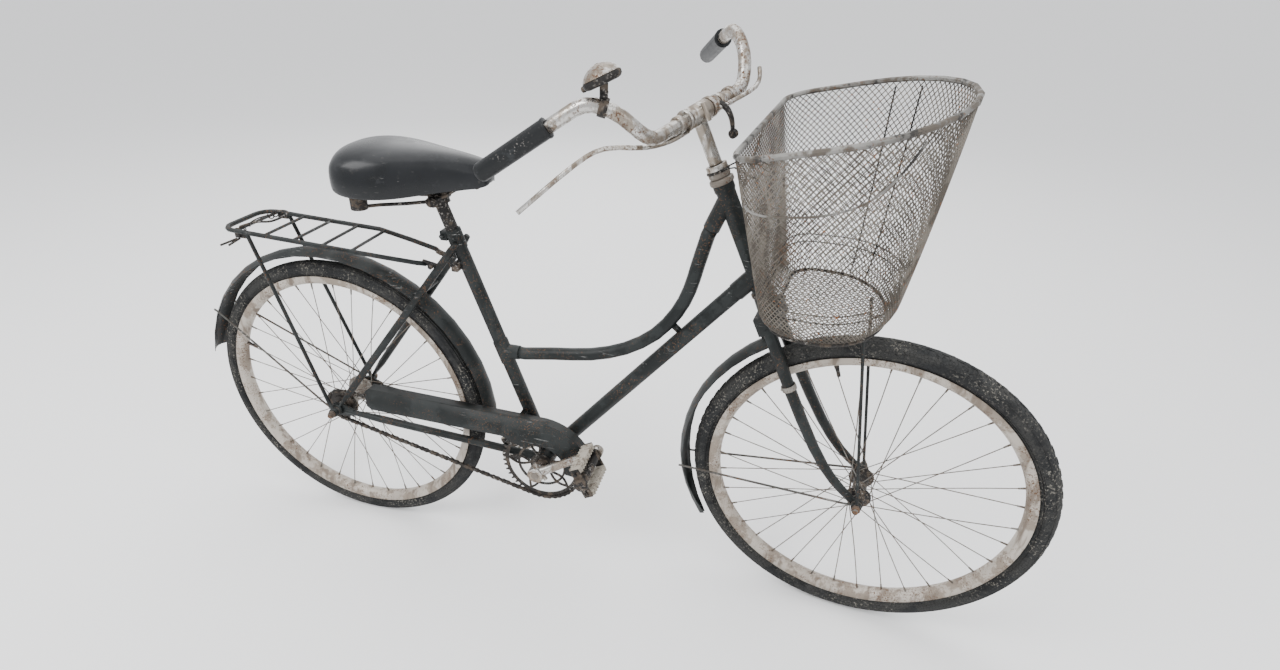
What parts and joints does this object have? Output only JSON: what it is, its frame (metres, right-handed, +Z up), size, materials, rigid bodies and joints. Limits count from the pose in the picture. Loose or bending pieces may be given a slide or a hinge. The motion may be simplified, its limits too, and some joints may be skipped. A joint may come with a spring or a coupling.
{
  "type": "rusty step-through bicycle",
  "caption": "Weathered step-through roadster bicycle with a wire front basket, rear rack, chain guard, mudguards and rod-brake levers.",
  "frame": {"origin": "on top of the saddle over its middle, where the rider sits and holds the bicycle up", "axes": "+X forward along the direction of travel, +Y to the rider's left, +Z up with both tyres on level ground 0.925 m below the origin"},
  "size_m": [1.8219, 0.6083, 1.1268],
  "materials": {
    "black_paint": "weathered gloss, scratched and rust-speckled",
    "worn_chrome": "pitted, spotted with rust",
    "rusty_steel": "rusted, matt",
    "dull_steel": "dull, with tan dirt",
    "tyre": "matt, dusty, cracked",
    "grip_rubber": "satin",
    "saddle_cover": "shiny vinyl, worn grey in places",
    "mesh_steel": "dull wire with rust streaks",
    "dark_grease": "oily, dirty"
  },
  "bodies": {
    "frame": {"head_tube": "black_paint", "headset_lower_cup": "dull_steel", "headset_upper_cup": "dull_steel", "down_tube": "black_paint", "loop_tube": "black_paint", "frame_strut": "black_paint", "seat_tube": "black_paint", "bottom_bracket": "black_paint", "chain_stay_right": "black_paint", "chain_stay_left": "black_paint", "seat_stay_right": "black_paint", "seat_stay_left": "black_paint", "chain_stay_bridge": "black_paint", "seat_stay_bridge": "black_paint", "seat_post": "rusty_steel", "saddle_frame": "rusty_steel", "saddle_cushion": "saddle_cover", "chain": "dark_grease", "chain_guard": "black_paint", "rear_mudguard": "black_paint", "rear_mudguard_stay_right": "black_paint", "rear_mudguard_stay_left": "black_paint", "rear_rack": "black_paint", "rear_axle": "rusty_steel"},
    "steering": {"fork": "black_paint", "headset_cone": "dull_steel", "headset_locknut": "worn_chrome", "stem": "worn_chrome", "handlebar": "worn_chrome", "grip_right": "grip_rubber", "grip_left": "grip_rubber", "bell": "worn_chrome", "brake_lever_right": "worn_chrome", "brake_lever_left": "worn_chrome", "basket": "mesh_steel", "basket_rim": "mesh_steel", "basket_strut_right": "black_paint", "basket_strut_left": "black_paint", "basket_bracket": "black_paint", "front_mudguard": "black_paint", "front_mudguard_stay_right": "black_paint", "front_mudguard_stay_left": "black_paint", "front_axle": "rusty_steel"},
    "front_wheel_body": {"front_wheel": "dull_steel", "front_tyre": "tyre"},
    "rear_wheel_body": {"rear_wheel": "dull_steel", "rear_tyre": "tyre", "rear_cog": "dark_grease"},
    "crank": {"crank_spindle": "dull_steel", "crank_right": "worn_chrome", "crank_left": "worn_chrome", "chainwheel": "dark_grease"},
    "pedal_right_body": {"pedal_right": "rusty_steel"},
    "pedal_left_body": {"pedal_left": "rusty_steel"}
  },
  "joints": [
    {"name": "steering", "type": "hinge", "parent": "frame", "child": "steering", "pos_m": [0.65171, 0, -0.20379], "axis": [-0.4384, 0, 0.8988], "range_deg": [-60, 75]},
    {"name": "front_wheel_spin", "type": "hinge", "parent": "steering", "child": "front_wheel_body", "pos_m": [0.89256, -0.00685, -0.58922], "axis": [0.1282, 0.9898, 0.0625], "continuous": true},
    {"name": "rear_wheel_spin", "type": "hinge", "parent": "frame", "child": "rear_wheel_body", "pos_m": [-0.242, 0, -0.593], "axis": [0, 1, 0], "continuous": true},
    {"name": "crank_spin", "type": "hinge", "parent": "frame", "child": "crank", "pos_m": [0.24, 0, -0.655], "axis": [0, 1, 0], "continuous": true},
    {"name": "pedal_right_spin", "type": "hinge", "parent": "crank", "child": "pedal_right_body", "pos_m": [0.37419, -0.13, -0.56786], "axis": [0, 1, 0], "continuous": true},
    {"name": "pedal_left_spin", "type": "hinge", "parent": "crank", "child": "pedal_left_body", "pos_m": [0.10581, 0.13, -0.74214], "axis": [0, 1, 0], "continuous": true}
  ]
}
